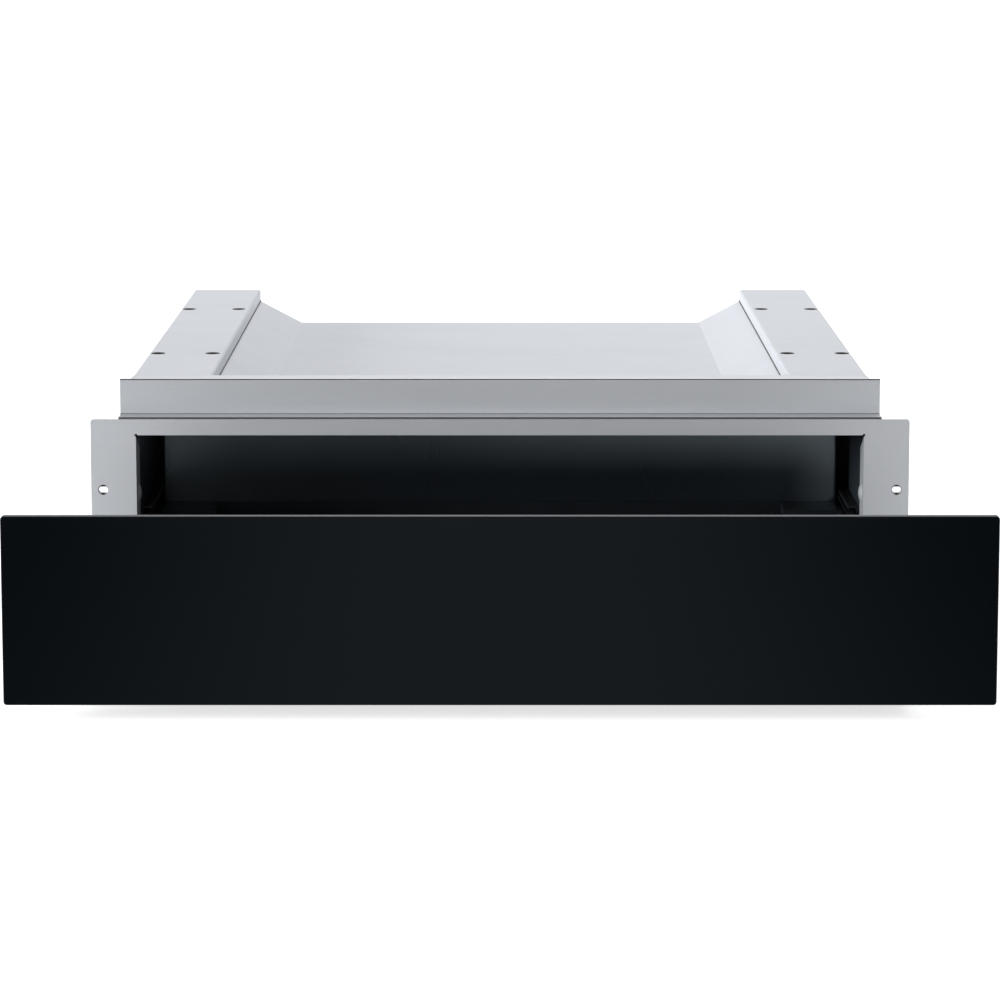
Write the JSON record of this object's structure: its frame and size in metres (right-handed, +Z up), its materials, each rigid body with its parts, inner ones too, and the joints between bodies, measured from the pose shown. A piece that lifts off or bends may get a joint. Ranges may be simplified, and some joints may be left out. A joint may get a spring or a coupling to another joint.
{
  "type": "built in warming drawer",
  "caption": "Built-in warming drawer on telescopic slides: sheet-steel housing with support rails, black glass front and glass heating plate, pulled open.",
  "frame": {"origin": "middle of the housing's footprint, on the underside of its base pan", "axes": "+X to the right seen from the front, +Y to the back, +Z up"},
  "size_m": [0.595, 0.957, 0.14],
  "materials": {
    "zinc_sheet": "galvanised sheet, satin",
    "brushed_steel": "satin stainless sheet, fine horizontal grain",
    "black_enamel": "black coat, satin",
    "black_glass": "black glass, polished",
    "black_plastic": "moulded, matt",
    "pale_plastic": "moulded, matt",
    "rubber": "matt",
    "silicone": "matt silicone",
    "mineral_wool": "fibrous mat",
    "roller_steel": "black zinc-plated",
    "spring_steel": "bright steel",
    "amber_lens": "clear amber"
  },
  "bodies": {
    "housing": {"base_pan": "zinc_sheet", "rear_panel": "zinc_sheet", "roof_cover": "zinc_sheet", "fascia_strip": "brushed_steel", "mounting_frame": "brushed_steel", "cavity_ceiling": "black_enamel", "terminal_box": "pale_plastic", "terminal_cover": "pale_plastic", "cable_gland": "black_plastic", "supply_lead": "silicone", "side_panel_left": "zinc_sheet", "side_panel_right": "zinc_sheet", "support_rail_left": "zinc_sheet", "support_rail_right": "zinc_sheet", "side_liner_left": "black_enamel", "side_liner_right": "black_enamel", "latch_body_left": "black_plastic", "latch_body_right": "black_plastic", "latch_spring_left": "spring_steel", "latch_spring_right": "spring_steel", "slide_outer_left": "roller_steel", "slide_outer_right": "roller_steel"},
    "drawer": {"front_glass": "black_glass", "front_carrier": "black_enamel", "drawer_tray": "black_enamel", "back_panel": "black_enamel", "deck_plate": "black_enamel", "plate_gasket": "silicone", "heating_plate": "black_glass", "heating_element": "roller_steel", "insulation_mat": "mineral_wool", "thermostat": "spring_steel", "thermal_cutout": "spring_steel", "lead_clamp": "black_plastic", "control_console": "black_enamel", "selector_switch": "black_plastic", "pilot_lens": "amber_lens", "slide_inner_left": "roller_steel", "slide_inner_right": "roller_steel", "front_bracket_left": "zinc_sheet", "front_bracket_right": "zinc_sheet", "corner_block_left": "black_enamel", "corner_block_right": "black_enamel", "front_bumper_upper_left": "rubber", "front_bumper_upper_right": "rubber", "front_bumper_lower_left": "rubber", "front_bumper_lower_right": "rubber"},
    "selector": {"selector_knob": "black_plastic", "selector_spindle": "spring_steel"},
    "slide_middle_left": {"slide_middle_left": "roller_steel"},
    "ball_cage_outer_left": {"ball_cage_outer_left": "spring_steel"},
    "ball_cage_inner_left": {"ball_cage_inner_left": "spring_steel"},
    "latch_plunger_left": {"latch_plunger_left": "pale_plastic"},
    "slide_middle_right": {"slide_middle_right": "roller_steel"},
    "ball_cage_outer_right": {"ball_cage_outer_right": "spring_steel"},
    "ball_cage_inner_right": {"ball_cage_inner_right": "spring_steel"},
    "latch_plunger_right": {"latch_plunger_right": "pale_plastic"}
  },
  "joints": [
    {"name": "drawer_slide", "type": "slide", "parent": "housing", "child": "drawer", "axis": [0, -1, 0], "range_m": [-0.4, 0], "deforming": ["supply_lead"]},
    {"name": "slide_middle_left_slide", "type": "slide", "parent": "housing", "child": "slide_middle_left", "axis": [0, -1, 0], "range_m": [-0.201, 0.001]},
    {"name": "ball_cage_outer_left_slide", "type": "slide", "parent": "housing", "child": "ball_cage_outer_left", "axis": [0, -1, 0], "range_m": [-0.101, 0.001]},
    {"name": "ball_cage_inner_left_slide", "type": "slide", "parent": "housing", "child": "ball_cage_inner_left", "axis": [0, -1, 0], "range_m": [-0.301, 0.001]},
    {"name": "slide_middle_right_slide", "type": "slide", "parent": "housing", "child": "slide_middle_right", "axis": [0, -1, 0], "range_m": [-0.201, 0.001]},
    {"name": "ball_cage_outer_right_slide", "type": "slide", "parent": "housing", "child": "ball_cage_outer_right", "axis": [0, -1, 0], "range_m": [-0.101, 0.001]},
    {"name": "ball_cage_inner_right_slide", "type": "slide", "parent": "housing", "child": "ball_cage_inner_right", "axis": [0, -1, 0], "range_m": [-0.301, 0.001]},
    {"name": "selector_turn", "type": "hinge", "parent": "drawer", "child": "selector", "pos_m": [0.2043, -0.6487, 0.058], "axis": [0, 0, 1], "range_deg": [-180, 0]},
    {"name": "latch_left_press", "type": "slide", "parent": "housing", "child": "latch_plunger_left", "axis": [0, 1, 0], "range_m": [0, 0.004], "stiffness_N_per_m": 300, "springref_m": -0.01, "deforming": ["latch_spring_left"]},
    {"name": "latch_right_press", "type": "slide", "parent": "housing", "child": "latch_plunger_right", "axis": [0, 1, 0], "range_m": [0, 0.004], "stiffness_N_per_m": 300, "springref_m": -0.01, "deforming": ["latch_spring_right"]}
  ],
  "couplings": [
    {"joint": "slide_middle_left_slide", "follows": "drawer_slide", "ratio": 0.5},
    {"joint": "ball_cage_outer_left_slide", "follows": "drawer_slide", "ratio": 0.25},
    {"joint": "ball_cage_inner_left_slide", "follows": "drawer_slide", "ratio": 0.75},
    {"joint": "slide_middle_right_slide", "follows": "drawer_slide", "ratio": 0.5},
    {"joint": "ball_cage_outer_right_slide", "follows": "drawer_slide", "ratio": 0.25},
    {"joint": "ball_cage_inner_right_slide", "follows": "drawer_slide", "ratio": 0.75}
  ]
}
